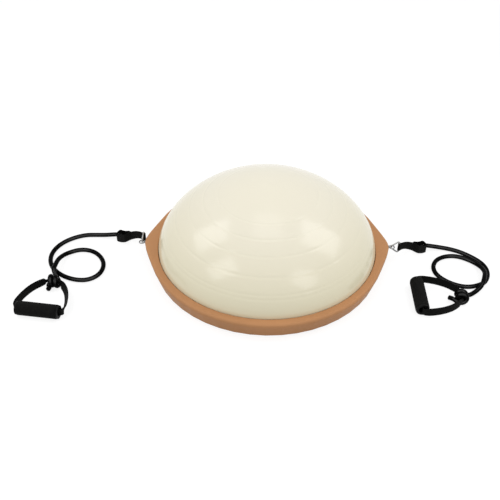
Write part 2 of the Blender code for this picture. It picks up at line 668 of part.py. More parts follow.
def build_tube(side):
    """The tube from the stopper to the knot, and the knot itself."""
    bar = sleeve_plane(side).translation
    sleeve = sleeve_plane(side)
    handle = handle_plane(side)
    drop = sleeve_drop(SLEEVE_LEN)
    exit_point = sleeve @ Vector((SLEEVE_LEN + 0.0008, 0, drop))
    lead = sleeve @ Vector((SLEEVE_LEN + 0.0058, 0, drop))
    knot = [handle @ p for p in knot_path(side)]
    inward = (knot[1] - knot[0]).normalized()
    end = knot[0] - CLEAR * inward
    before = [knot[0] - d * inward for d in (0.0110, 0.0055)]
    on_floor = Vector((0, 0, TUBE_R + CLEAR))
    route = [exit_point, lead] + [Vector(p) + on_floor for p in SIDES[side]["route"]] + before + [end]
    curve = bpy.data.curves.new(f"tube_{side}", "CURVE")
    curve.dimensions = "3D"
    curve.bevel_depth = TUBE_R
    curve.bevel_resolution = 2
    curve.use_fill_caps = True
    points = spline(route, 60)
    points[1] = lead
    points[-2] = end - 0.0100 * inward
    print(f"tube_{side}: least gap to itself {1000 * least_gap(points):.2f} mm")
    line = curve.splines.new("POLY")
    line.points.add(len(points) - 1)
    for slot, point in zip(line.points, points):
        slot.co = (*(point - bar), 1.0)
    tube = bpy.data.objects.new(f"tube_{side}", curve)
    tube.location = bar
    bpy.context.scene.collection.objects.link(tube)
    curve.materials.append(material(f"tube_{side}_mat", *BLACK_RUBBER))
    finish(sweep(f"knot_{side}", round_sections(knot, TUBE_R, 8)), BLACK_RUBBER, bar)


def strap_path():
    """Middle line of the strap: through the grip, up both legs and across the top."""
    side = STRAP_SPREAD
    top = STRAP_REACH
    leg = [(0.0, 0.0), (0.0, 0.0180), (0.0, 0.0360), (0.0, side - 0.0123), (0.0, side - 0.0063),
           (0.0004, side - 0.0037), (0.0017, side - 0.0016), (0.0040, side - 0.0004), (0.0075, side)]
    leg += [(top * along, side * out) for along, out in STRAP_LEG]
    back = [(u, -v) for u, v in reversed(leg[1:])]
    return leg + [(top, 0.0)] + back


def strap_size(u, v):
    """Half width and thickness of the strap: narrower in the grip, bunched where the knot holds it."""
    narrow = CORE_R[0] - 0.0006
    wide = narrow + (STRAP_HALF_W - narrow) * smoothstep(u / 0.0080)
    bunch = smoothstep((0.0300 - abs(v)) / 0.0130) if u > STRAP_REACH / 2 else 0.0
    return wide + (STRAP_BUNCH[1] - wide) * bunch, STRAP_T + (2 * STRAP_BUNCH[0] - STRAP_T) * bunch


def build_handle(side):
    frame = handle_plane(side)
    top = frame @ Vector((STRAP_REACH, 0, 0))
    grip = frame.translation
    sections = band_sections(strap_path(), strap_size, lambda u, v: 0.0)
    sections = [[frame @ p for p in section] for section in sections]
    finish(sweep(f"strap_{side}", sections, closed=True, smooth=50.0), BLACK_WEB, top)
    along = frame @ Matrix.Rotation(-math.pi / 2, 4, "X")
    core_in, core_out = CORE_R
    core_half = GRIP_HALF + COLLAR_T + 0.0007
    core = [(core_in, -core_half), (core_out, -core_half), (core_out, core_half), (core_in, core_half)]
    finish(lathe(f"grip_core_{side}", core, 20, along, closed=True), BLACK_PLASTIC, grip)
    inner = core_out + CLEAR
    foam = [(inner, -GRIP_HALF), (GRIP_R - 0.0015, -GRIP_HALF), (GRIP_R, -GRIP_HALF + 0.0015),
            (GRIP_R, GRIP_HALF - 0.0015), (GRIP_R - 0.0015, GRIP_HALF), (inner, GRIP_HALF)]
    finish(lathe(f"grip_foam_{side}", foam, 24, along, closed=True), BLACK_FOAM, grip)
    for tag, sign in (("a", 1), ("b", -1)):
        low = sign * (GRIP_HALF + CLEAR)
        high = sign * (GRIP_HALF + CLEAR + COLLAR_T)
        collar_r = GRIP_R - 0.0009
        collar = [(inner, low), (collar_r, low), (collar_r, high), (inner, high)]
        finish(lathe(f"grip_collar_{side}_{tag}", collar, 20, along, closed=True), BLACK_PLASTIC, grip)


build_base()
build_feet()
build_dome()
build_valve()
for side_name in SIDES:
    build_eye(side_name)
    build_hook(side_name)
    build_sleeve(side_name)
    build_tube(side_name)
    build_handle(side_name)
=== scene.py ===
"""The half ball balance trainer dressed for its picture: materials, fine surfaces, light and camera."""
import math

import bpy
import bmesh
from mathutils import Matrix, Vector


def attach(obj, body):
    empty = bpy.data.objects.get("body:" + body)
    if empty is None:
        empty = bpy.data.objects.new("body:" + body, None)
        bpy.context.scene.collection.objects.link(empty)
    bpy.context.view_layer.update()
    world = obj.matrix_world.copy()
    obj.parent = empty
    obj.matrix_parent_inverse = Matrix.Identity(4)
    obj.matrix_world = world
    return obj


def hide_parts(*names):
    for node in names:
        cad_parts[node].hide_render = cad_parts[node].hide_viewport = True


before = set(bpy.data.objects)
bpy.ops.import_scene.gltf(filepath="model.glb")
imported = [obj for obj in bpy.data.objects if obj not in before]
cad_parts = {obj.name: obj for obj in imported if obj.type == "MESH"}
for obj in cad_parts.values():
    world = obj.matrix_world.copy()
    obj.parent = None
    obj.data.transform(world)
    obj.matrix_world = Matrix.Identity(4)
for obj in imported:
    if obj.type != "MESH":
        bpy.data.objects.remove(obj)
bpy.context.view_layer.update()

# The same sizes as in part.py, in metres
BASE_R = 0.2900
RIM_TOP = 0.0460
RIM_UNDER = 0.0350
RIM_WALL = 0.0098
EAR_STEP = 0.0103
EAR_FLANK = 22.2
EAR_TIP_SOFT = 4.5
DECK_TOP = 0.0160
DOME_GAP = 0.0013
DOME_TOP = 0.2280
DOME_SKIN = 0.0030
DOME_TUCK = 0.0085
DOME_SQUARE = (1.76, 1.676)
TUBE_R = 0.0058
WIRE_R = 0.0020
GRIP_R = 0.0172
GRIP_HALF = 0.0490
STRAP_REACH = 0.1035
STRAP_T = 0.0024
STRAP_HALF_W = 0.0100
STRAP_SPREAD = 0.0600
CORE_R = (0.0102, 0.0120)
STRAP_BUNCH = (0.0029, 0.0037)
STRAP_LEAN = {"right": (-10, 14), "left": (-12, -32)}      # degrees, the leg on the Y side first
CLEAR = 0.0003
STRAP_LEG = [(0.200, 0.985), (0.330, 0.945), (0.460, 0.887), (0.590, 0.803), (0.700, 0.708),
             (0.800, 0.588), (0.880, 0.466), (0.940, 0.364), (0.975, 0.291), (0.995, 0.218),
             (1.0, 0.109)]
DOME_R = BASE_R - RIM_WALL - DOME_GAP
EAR_TIP = (BASE_R + EAR_STEP) / math.cos(math.radians(EAR_FLANK - EAR_TIP_SOFT))
EYE_Z = (RIM_UNDER + RIM_TOP) / 2
EYE_RING_R = 0.0062
EYE_WIRE_R = 0.0018
EYE_COLLAR = 0.0014
EYE_CENTER = EAR_TIP + CLEAR + EYE_COLLAR + 0.0012 + EYE_RING_R
HOOK_PLAY = 0.0006       # between the hook's wire and the eye
EYE_HANG = EYE_RING_R - EYE_WIRE_R - WIRE_R - HOOK_PLAY     # the hook's wire rests this far off centre
HOOK_LEN = 0.0205
SLEEVE_LEN = 0.0870
SLEEVE_END_Z = 0.0132
SLEEVE_HALF_W = (0.0109, 0.0126)
WEB_T = 0.0015
BALL_R = 0.0088
BALL_FREE = 0.0004       # between the stopper's ball and the webbing, and round the tube in its hole
HANDLE_Z = GRIP_R
KNOT_WRAP = (0.0052 + TUBE_R, HANDLE_Z - TUBE_R - CLEAR)
KNOT_PITCH = 2 * TUBE_R + 0.0007
KNOT_TURNS = 2

# Where each band lies: the side of the eye's centre on which the hook's wire rests, the direction
# of its hook, sleeve and handle, the side on which the tube enters the knot with the sideways lean
# of its two ends, its tail's length and rise, and the tube's route, with how far each point is
# lifted off the floor
SIDES = {
    "right": {
        "hang": -1.0,
        "hook_deg": 3.0,
        "sleeve_deg": 27.0,
        "grip": (0.3758, -0.1566),
        "handle_deg": 0.0,
        "knot": (1.0, 0.0030, 0.0110),
        "tail": (0.0310, 0.0070),
        "route": [(0.4400, 0.0436, 0.0050), (0.4625, 0.0436, 0.0014), (0.4870, 0.0388, 0.0000),
                  (0.5100, 0.0287, 0.0000), (0.5310, 0.0142, 0.0000), (0.5495, -0.0032, 0.0000),
                  (0.5625, -0.0218, 0.0000), (0.5682, -0.0435, 0.0000), (0.5650, -0.0680, 0.0000),
                  (0.5530, -0.0905, 0.0000), (0.5380, -0.1010, 0.0000), (0.5200, -0.1080, 0.0000),
                  (0.5010, -0.1100, 0.0000), (0.4800, -0.1050, 0.0000), (0.4590, -0.0930, 0.0000),
                  (0.4420, -0.0760, 0.0000), (0.4325, -0.0560, 0.0000), (0.4325, -0.0330, 0.0000),
                  (0.4430, -0.0110, 0.0000), (0.4620, 0.0035, 0.0000), (0.4840, 0.0095, 0.0000),
                  (0.5060, 0.0070, 0.0000), (0.5260, -0.0030, 0.0001), (0.5430, -0.0190, 0.0016),
                  (0.5530, -0.0380, 0.0052), (0.5560, -0.0570, 0.0097), (0.5545, -0.0740, 0.0125),
                  (0.5490, -0.0900, 0.0136), (0.5440, -0.1040, 0.0124), (0.5345, -0.1175, 0.0060),
                  (0.5205, -0.1290, 0.0012)],
    },
    "left": {
        "hang": 1.0,
        "hook_deg": 81.0,
        "sleeve_deg": 153.8,
        "grip": (-0.5390, -0.2350),
        "handle_deg": 83.0,
        "knot": (-1.0, -0.0080, 0.0060),
        "tail": (0.0220, 0.0030),
        "route": [(-0.4175, 0.0641, 0.0052), (-0.4370, 0.0665, 0.0018), (-0.4600, 0.0680, 0.0000),
                  (-0.4840, 0.0663, 0.0000), (-0.5050, 0.0590, 0.0000), (-0.5250, 0.0465, 0.0000),
                  (-0.5415, 0.0300, 0.0000), (-0.5535, 0.0090, 0.0000), (-0.5590, -0.0150, 0.0000),
                  (-0.5570, -0.0400, 0.0000), (-0.5480, -0.0630, 0.0000), (-0.5335, -0.0820, 0.0000),
                  (-0.5150, -0.0975, 0.0000), (-0.4935, -0.1085, 0.0000), (-0.4715, -0.1140, 0.0000),
                  (-0.4510, -0.1130, 0.0000), (-0.4340, -0.1040, 0.0000), (-0.4220, -0.0880, 0.0000),
                  (-0.4175, -0.0670, 0.0000), (-0.4205, -0.0450, 0.0000), (-0.4320, -0.0230, 0.0000),
                  (-0.4490, -0.0060, 0.0000), (-0.4700, 0.0030, 0.0000), (-0.4910, 0.0030, 0.0000),
                  (-0.5090, -0.0050, 0.0003), (-0.5230, -0.0210, 0.0042), (-0.5305, -0.0400, 0.0092),
                  (-0.5335, -0.0570, 0.0126), (-0.5342, -0.0740, 0.0142), (-0.5343, -0.0930, 0.0138)],
    },
}


# Camera at the photograph's viewing angle
def add_camera():
    tilt = 0.69648
    turn = 0.0073
    roll = -0.02548
    distance = 1.9
    picture = 500            # pixels across the photograph
    focal = 722.373          # the focal length in those pixels
    middle = (266.721, 256.367)      # where the view's axis meets it
    into = Matrix.Rotation(-turn, 3, "Z")
    right = into @ Vector((1, 0, 0))
    up = into @ Vector((0, math.sin(tilt), math.cos(tilt)))
    back = into @ Vector((0, -math.cos(tilt), math.sin(tilt)))
    cam_right = math.cos(roll) * right - math.sin(roll) * up
    cam_up = math.sin(roll) * right + math.cos(roll) * up
    data = bpy.data.cameras.new("camera")
    data.sensor_width = 36.0
    data.lens = data.sensor_width * focal / picture
    data.shift_x = (picture / 2 - middle[0]) / picture
    data.shift_y = (middle[1] - picture / 2) / picture
    data.clip_start = 0.05
    camera = bpy.data.objects.new("camera", data)
    camera.matrix_world = Matrix((cam_right, cam_up, back)).transposed().to_4x4()
    camera.location = back * distance
    bpy.context.scene.collection.objects.link(camera)
    bpy.context.scene.camera = camera


# Mesh helpers
def smoothstep(t):
    t = max(0.0, min(1.0, t))
    return t * t * (3 - 2 * t)


def axes(origin, along, up=(0.0, 0.0, 1.0)):
    """Frame with its Z along a direction and its X as near to up as it gets."""
    z_axis = Vector(along).normalized()
    x_axis = (Vector(up) - Vector(up).dot(z_axis) * z_axis).normalized()
    result = Matrix((x_axis, z_axis.cross(x_axis), z_axis)).transposed().to_4x4()
    result.translation = Vector(origin)
    return result


def mesh_object(name, verts, faces, uvs=None, smooth=40.0):
    """Object from points and faces; edges that turn less than smooth degrees are shaded round."""
    mesh = bpy.data.meshes.new(name)
    mesh.from_pydata([tuple(v) for v in verts], [], faces)
    if uvs is not None:
        layer = mesh.uv_layers.new(name="UVMap")
        for face, coords in zip(mesh.polygons, uvs):
            for loop, uv in zip(face.loop_indices, coords):
                layer.data[loop].uv = uv
    bm = bmesh.new()
    bm.from_mesh(mesh)
    bmesh.ops.recalc_face_normals(bm, faces=bm.faces)
    for edge in bm.edges:
        edge.smooth = edge.calc_face_angle(0.0) < math.radians(smooth)
    for face in bm.faces:
        face.smooth = True
    bm.to_mesh(mesh)
    bm.free()
    obj = bpy.data.objects.new(name, mesh)
    bpy.context.scene.collection.objects.link(obj)
    return obj


def loft(name, sections, closed=False, smooth=40.0):
    """Join cross-sections into a solid, with UVs in metres: along the loft, and round a section."""
    count = len(sections[0])
    verts = [p for section in sections for p in section]
    rings = len(sections)
    along = [0.0]
    for a, b in zip(sections, sections[1:] + sections[:1]):
        along.append(along[-1] + (sum(b, Vector()) - sum(a, Vector())).length / count)
    around = [0.0]
    for a, b in zip(sections[0], sections[0][1:] + sections[0][:1]):
        around.append(around[-1] + (b - a).length)
    faces = []
    uvs = []
    for i in range(rings if closed else rings - 1):
        j = (i + 1) % rings
        for k in range(count):
            n = (k + 1) % count
            faces.append([i * count + k, i * count + n, j * count + n, j * count + k])
            uvs.append([(along[i], around[k]), (along[i], around[k + 1]),
                        (along[i + 1], around[k + 1]), (along[i + 1], around[k])])
    if not closed:
        faces += [list(range(count))[::-1], list(range((rings - 1) * count, rings * count))]
        uvs += [[(0.0, around[k]) for k in range(count)][::-1],
                [(along[-2], around[k]) for k in range(count)]]
    return mesh_object(name, verts, faces, uvs, smooth)


def lathe(name, profile, segments, frame_matrix=Matrix(), smooth=40.0):
    """Turn an open profile of (radius, height) about Z; a radius of 0 is a pole."""
    verts = []
    rings = []
    for radius, height in profile:
        if radius < 1e-7:
            rings.append([len(verts)])
            verts.append(frame_matrix @ Vector((0, 0, height)))
            continue
        rings.append(list(range(len(verts), len(verts) + segments)))
        for k in range(segments):
            turn = 2 * math.pi * k / segments
            verts.append(frame_matrix @ Vector((radius * math.cos(turn), radius * math.sin(turn), height)))
    faces = []
    for low, high in zip(rings, rings[1:]):
        for k in range(segments):
            n = (k + 1) % segments
            quad = [low[k % len(low)], low[n % len(low)], high[n % len(high)], high[k % len(high)]]
            quad = list(dict.fromkeys(quad))
            if len(quad) > 2:
                faces.append(quad)
    return mesh_object(name, verts, faces, smooth=smooth)


def round_sections(path, radii, sides):
    """Circles along a path, carried from point to point without twist."""
    points = [Vector(p) for p in path]
    count = len(points)
    tangents = []
    for i in range(count):
        tangents.append((points[min(i + 1, count - 1)] - points[max(i - 1, 0)]).normalized())
    normal = tangents[0].orthogonal().normalized()
    sections = []
    for point, tangent, r in zip(points, tangents, radii):
        normal = (normal - normal.dot(tangent) * tangent).normalized()
        side = tangent.cross(normal)
        sections.append([point + r * (math.cos(a) * normal + math.sin(a) * side)
                         for a in (2 * math.pi * k / sides for k in range(sides))])
    return sections


def spline(points, count):
    """Evenly spaced points on a Catmull-Rom curve through the given points."""
    pts = [Vector(p) for p in points]
    pts = [2 * pts[0] - pts[1]] + pts + [2 * pts[-1] - pts[-2]]
    fine = []
    for i in range(1, len(pts) - 2):
        a, b, c, d = pts[i - 1:i + 3]
        for k in range(16):
            t = k / 16
            fine.append(0.5 * (2 * b + (c - a) * t + (2 * a - 5 * b + 4 * c - d) * t ** 2
                               + (3 * b - a - 3 * c + d) * t ** 3))
    fine.append(pts[-2])
    run = [0.0]
    for a, b in zip(fine, fine[1:]):
        run.append(run[-1] + (b - a).length)
    out = []
    j = 0
    for i in range(count):
        goal = run[-1] * i / (count - 1)
        while j < len(run) - 2 and run[j + 1] < goal:
            j += 1
        t = (goal - run[j]) / (run[j + 1] - run[j])
        out.append(fine[j].lerp(fine[j + 1], t))
    return out


# Materials
class Nodes:
    """Small helper to write a node tree as expressions."""

    def __init__(self, name):
        self.mat = bpy.data.materials.new(name)
        self.mat.use_nodes = True
        self.tree = self.mat.node_tree
        self.shader = self.tree.nodes["Principled BSDF"]

    def add(self, kind, inputs=None, **props):
        node = self.tree.nodes.new(kind)
        for key, value in props.items():
            setattr(node, key, value)
        for key, value in (inputs or {}).items():
            if isinstance(value, bpy.types.NodeSocket):
                self.tree.links.new(value, node.inputs[key])
            else:
                node.inputs[key].default_value = value
        return node

    def math(self, operation, a, b=0.0):
        return self.add("ShaderNodeMath", {0: a, 1: b}, operation=operation).outputs[0]

    def place(self):
        return self.add("ShaderNodeTexCoord").outputs["Object"]

    def noise(self, scale, detail=3.0, rough=0.5):
        node = self.add("ShaderNodeTexNoise", {"Scale": scale, "Detail": detail, "Roughness": rough,
                                               "Vector": self.place()})
        return node.outputs["Fac"]

    def ramp(self, fac, stops):
        node = self.add("ShaderNodeValToRGB", {"Fac": fac})
        band = node.color_ramp
        while len(band.elements) < len(stops):
            band.elements.new(0.5)
        for element, (place, color) in zip(band.elements, stops):
            element.position = place
            element.color = (*color, 1.0)
        return node.outputs["Color"]

    def gray(self, fac, low, high, start=0.3, end=0.7):
        return self.add("ShaderNodeMapRange", {"Value": fac, "From Min": start, "From Max": end,
                                               "To Min": low, "To Max": high}).outputs["Result"]

    def bump(self, height, strength, distance):
        return self.add("ShaderNodeBump", {"Height": height, "Strength": strength,
                                           "Distance": distance}).outputs["Normal"]

    def set(self, **values):
        for key, value in values.items():
            socket = self.shader.inputs[key.replace("_", " ")]
            if isinstance(value, bpy.types.NodeSocket):
                self.tree.links.new(value, socket)
            else:
                socket.default_value = value
        return self.mat


def shade(color, factor):
    return tuple(c * factor for c in color)


def tan_plastic():
    n = Nodes("tan_plastic")
    base = (0.515, 0.256, 0.117)
    tone = n.noise(6.0, 2.0)
    grain = n.noise(900.0, 2.0)
    scuff = n.noise(70.0, 4.0, 0.7)
    return n.set(Base_Color=n.ramp(tone, [(0.35, shade(base, 0.97)), (0.65, shade(base, 1.03))]),
                 Roughness=n.gray(scuff, 0.44, 0.54), Normal=n.bump(grain, 0.25, 0.0002),
                 Specular_IOR_Level=0.10)


def cream_vinyl():
    """Glossy vinyl, with painted shade and painted bounce light from the tan base: darker and yellower low
    down.
    """
    n = Nodes("cream_vinyl")
    place = n.add("ShaderNodeNewGeometry").outputs["Position"]
    height = n.add("ShaderNodeSeparateXYZ", {"Vector": place}).outputs["Z"]
    # Painted shade and painted bounce light: this is 0 low down and 1 high up, so the colour goes darker
    # and yellower towards the base; the noise adds a little random tone
    low = n.gray(height, 0.0, 1.0, 0.060, 0.190)
    tone = n.math("ADD", n.math("MULTIPLY", n.noise(4.0, 2.0), 0.06), n.math("MULTIPLY", low, 0.94))
    grain = n.noise(700.0, 2.0)
    return n.set(Base_Color=n.ramp(tone, [(0.0, (0.800, 0.745, 0.540)), (1.0, (0.850, 0.805, 0.665))]),
                 Roughness=n.gray(n.noise(30.0, 2.0), 0.14, 0.17), Normal=n.bump(grain, 0.05, 0.0002),
                 Specular_IOR_Level=0.42)


def steel():
    n = Nodes("polished_steel")
    tone = n.noise(160.0, 3.0)
    return n.set(Base_Color=n.ramp(tone, [(0.3, (0.26, 0.26, 0.26)), (0.7, (0.42, 0.42, 0.41))]),
                 Roughness=n.gray(tone, 0.16, 0.30), Metallic=1.0,
                 Normal=n.bump(n.noise(1200.0, 2.0), 0.08, 0.0001))


def black_rubber():
    """Smooth rubber with a painted highlight: its gloss is painted stronger where it faces the eye, so a
    light line runs down its middle and its edges stay dark.
    """
    n = Nodes("black_rubber")
    tone = n.noise(60.0, 3.0)
    # Painted highlight: the reflection is turned up where the surface faces the eye and down towards its
    # edges
    painted_highlight_mask = n.add("ShaderNodeLayerWeight", {"Blend": 0.5}).outputs["Facing"]
    return n.set(Base_Color=n.ramp(tone, [(0.3, (0.001, 0.001, 0.001)), (0.7, (0.0025, 0.0025, 0.0025))]),
                 Roughness=n.gray(tone, 0.20, 0.26),
                 Specular_IOR_Level=n.gray(painted_highlight_mask, 0.42, 0.02, 0.0, 0.18),
                 Normal=n.bump(n.noise(1500.0, 2.0), 0.15, 0.0001))


def gray_rubber():
    n = Nodes("gray_rubber")
    tone = n.noise(200.0, 3.0)
    return n.set(Base_Color=n.ramp(tone, [(0.3, (0.065, 0.065, 0.065)), (0.7, (0.095, 0.095, 0.095))]),
                 Roughness=0.85, Normal=n.bump(n.noise(1800.0, 2.0), 0.4, 0.0002))


def black_plastic():
    n = Nodes("black_plastic")
    return n.set(Base_Color=n.ramp(n.noise(90.0),
                                   [(0.3, (0.004, 0.004, 0.004)), (0.7, (0.007, 0.007, 0.007))]),
                 Roughness=0.42, Specular_IOR_Level=0.08, Normal=n.bump(n.noise(2000.0), 0.2, 0.0001))


def foam():
    n = Nodes("black_foam")
    cells = n.add("ShaderNodeTexVoronoi", {"Scale": 900.0, "Vector": n.place()}).outputs["Distance"]
    dust = n.noise(120.0, 4.0, 0.7)
    return n.set(Base_Color=n.ramp(dust, [(0.3, (0.004, 0.004, 0.004)), (0.75, (0.009, 0.009, 0.008))]),
                 Roughness=0.88, Specular_IOR_Level=0.08, Normal=n.bump(cells, 0.8, 0.0006))


def webbing():
    """Woven strap: threads along and across, from UVs in metres."""
    warp = 0.0016            # from thread to thread across the strap
    weft = 0.0012            # and along it
    n = Nodes("black_webbing")
    uv = n.add("ShaderNodeUVMap").outputs["UV"]
    split = n.add("ShaderNodeSeparateXYZ", {"Vector": uv})
    along = split.outputs["X"]
    across = split.outputs["Y"]
    column = n.math("SINE", n.math("MULTIPLY", across, 2 * math.pi / warp))
    twill = n.math("ADD", n.math("MULTIPLY", along, 2 * math.pi / weft),
                   n.math("MULTIPLY", n.math("SIGN", column), math.pi / 2))
    weave = n.math("MULTIPLY", n.math("ABSOLUTE", column), n.math("ADD", 1.4, n.math("SINE", twill)))
    fuzz = n.noise(1500.0, 3.0)
    height = n.math("ADD", weave, n.math("MULTIPLY", fuzz, 0.6))
    # The colour follows the weave's height with a little random fuzz: painted shade, darker down between
    # the threads
    return n.set(Base_Color=n.ramp(n.gray(height, 0.0, 1.0, 0.2, 2.6),
                                   [(0.0, (0.001, 0.001, 0.001)), (1.0, (0.007, 0.007, 0.006))]),
                 Roughness=0.60, Specular_IOR_Level=0.06,
                 Normal=n.bump(height, 0.7, 0.0003))


def dress(node, mat):
    """Give a CAD node a finished material."""
    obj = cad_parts[node]
    if not obj.material_slots:
        obj.data.materials.append(mat)
    for slot in obj.material_slots:
        slot.material = mat


# Dome
# Its rings: the distance from the middle, the depth and the half width of each
GROOVES = [(0.1243, 0.00026, 0.0024), (0.1610, 0.00032, 0.0024), (0.1964, 0.00032, 0.0026),
           (0.2323, 0.00036, 0.0026), (0.2586, 0.00028, 0.0020), (0.2638, 0.00028, 0.0020)]


def build_dome(mat):
    """The dome's skin: up out of the base, then over the top with its rings."""
    tuck_steps = 14
    steps = 420
    flange_top = DECK_TOP + DOME_SKIN + 2 * CLEAR
    across, upward = DOME_SQUARE
    profile = [(DOME_R - DOME_TUCK * (1 - t) ** 2, flange_top + (RIM_TOP - flange_top) * t)
               for t in (k / tuck_steps for k in range(tuck_steps))]
    for k in range(steps + 1):
        turn = math.pi / 2 * k / steps
        radius = DOME_R * math.cos(turn) ** (2 / across) if k < steps else 0.0
        height = RIM_TOP + (DOME_TOP - RIM_TOP) * math.sin(turn) ** (2 / upward)
        dip = sum(depth * math.exp(-((radius - at) / width) ** 2) for at, depth, width in GROOVES)
        lean = math.atan2(height, max(radius, 1e-6))
        if radius:
            radius -= dip * math.cos(lean)
        profile.append((radius, height - dip * math.sin(lean)))
    dome = lathe("dome_skin", profile, 256, smooth=80.0)
    dome.data.materials.append(mat)
    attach(dome, "base")
    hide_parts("dome")


# Bands
def outward(side):
    """Direction of a side along X."""
    return 1 if side == "right" else -1


def hook_plane(side):
    """Frame of a hook: X along it from the eye, Y sideways, Z up, origin where it hangs."""
    data = SIDES[side]
    eye = Matrix.Translation((outward(side) * EYE_CENTER, 0, EYE_Z))
    rest = Matrix.Translation((data["hang"] * EYE_HANG, 0, 0))
    return eye @ Matrix.Rotation(math.radians(data["hook_deg"]), 4, "Z") @ rest


def sleeve_plane(side):
    """Frame of a sleeve: X along it from the hook's bar, Y sideways, Z up."""
    bar = hook_plane(side) @ Vector((HOOK_LEN, 0, 0))
    return Matrix.Translation(bar) @ Matrix.Rotation(math.radians(SIDES[side]["sleeve_deg"]), 4, "Z")


def handle_plane(side):
    """Frame of a handle: X from the grip to the strap's top, Y along the grip, Z up."""
    data = SIDES[side]
    return Matrix.Translation((*data["grip"], HANDLE_Z)) @ Matrix.Rotation(
        math.radians(data["handle_deg"]), 4, "Z")


def sleeve_drop(along):
    """How far the webbing has sagged from the hook's height."""
    return -(EYE_Z - SLEEVE_END_Z) * smoothstep((along - 0.010) / (SLEEVE_LEN - 0.018))


def sleeve_path():
    """Middle line of the webbing, once round the hook's bar and round the stopper's pocket."""
    loop_r = WIRE_R + CLEAR + WEB_T / 2
    neck = WEB_T / 2 + 0.0002
    wide = BALL_R + BALL_FREE + WEB_T / 2
    end = SLEEVE_LEN - WEB_T / 2
    half = []
    for k in range(13):
        turn = math.radians(180 - 11.25 * k)
        half.append((loop_r * math.cos(turn), loop_r * math.sin(turn)))
    half += [(0.0045, 0.0019), (0.0065, 0.0012), (0.0090, neck)]
    pocket = SLEEVE_LEN - 0.0280
    half += [(0.0090 + (pocket - 0.0270) * k / 8, neck) for k in range(1, 9)]
    half += [(pocket - 0.0180 * (1 - k / 12), neck + (wide - neck) * smoothstep(k / 12))
             for k in range(1, 13)]
    half += [(pocket + 0.0070, wide), (pocket + 0.0140, wide)]
    corner = 0.0045
    for k in range(9):
        turn = math.pi / 2 * k / 8
        half.append((end - corner + corner * math.sin(turn), wide - corner + corner * math.cos(turn)))
    half += [(end, 0.0040), (end, 0.0020)]
    lower = [(x, -y) for x, y in reversed(half[1:])]
    return half + [(end, 0.0)] + lower


def strap_path():
    """Middle line of the strap: through the grip, up both legs and across the top."""
    side = STRAP_SPREAD
    top = STRAP_REACH
    leg = [(0.0, 0.0), (0.0, 0.0180), (0.0, 0.0360), (0.0, side - 0.0123), (0.0, side - 0.0063),
           (0.0004, side - 0.0037), (0.0017, side - 0.0016), (0.0040, side - 0.0004), (0.0075, side)]
    leg += [(top * along, side * out) for along, out in STRAP_LEG]
    back = [(u, -v) for u, v in reversed(leg[1:])]
    return leg + [(top, 0.0)] + back


def strap_size(u, v):
    """Half width and thickness: narrower in the grip, bunched where the knot holds it."""
    narrow = CORE_R[0] - 0.0006
    wide = narrow + (STRAP_HALF_W - narrow) * smoothstep(u / 0.0080)
    bunch = smoothstep((0.0210 - abs(v)) / 0.0045) if u > STRAP_REACH / 2 else 0.0
    return wide + (STRAP_BUNCH[1] - wide) * bunch, STRAP_T + (2 * STRAP_BUNCH[0] - STRAP_T) * bunch


def refine(path, times):
    """Catmull-Rom points between those of a closed path."""
    count = len(path)
    out = []
    for i in range(count):
        a, b, c, d = (Vector(path[(i + j) % count]) for j in (-1, 0, 1, 2))
        for k in range(times):
            t = k / times
            out.append(0.5 * (2 * b + (c - a) * t + (2 * a - 5 * b + 4 * c - d) * t ** 2
                              + (3 * b - a - 3 * c + d) * t ** 3))
    return out


def strap_lean(side, u, v):
    """Tilt of a leg, none where the grip or the knot holds it."""
    held = smoothstep((u - 0.0040) / 0.0120) * smoothstep((abs(v) - 0.0180) / 0.0120)
    return math.radians(STRAP_LEAN[side][0 if v > 0 else 1]) * held


def band_sections(path, size, middle, lean=lambda x, y: 0.0, rise=6):
    """Strap sections, upright but for the lean, with rounded selvages and a few points up each face."""
    count = len(path)
    sections = []
    for i, point in enumerate(path):
        tangent = (Vector(path[(i + 1) % count]) - Vector(path[i - 1])).normalized()
        tall, thickness = size(point[0], point[1])
        normal = Vector((tangent.y, -tangent.x)) * thickness / 2
        mid = middle(point[0], point[1])
        edge = min(thickness / 2, tall * 0.6)
        levels = [-tall + edge + 2 * (tall - edge) * k / rise for k in range(rise + 1)]
        arc = [(math.cos(math.radians(a)), math.sin(math.radians(a))) for a in (45, 90, 135)]
        outline = [(1, z) for z in levels]
        outline += [(c, tall - edge + edge * s) for c, s in arc]
        outline += [(-1, z) for z in reversed(levels)]
        outline += [(c, -tall + edge - edge * s) for c, s in reversed(arc)]
        turn = Matrix.Rotation(lean(point[0], point[1]), 3, tangent.to_3d())
        heart = Vector((point[0], point[1], mid))
        sections.append([heart + turn @ Vector((normal.x * out, normal.y * out, z))
                         for out, z in outline])
    return sections


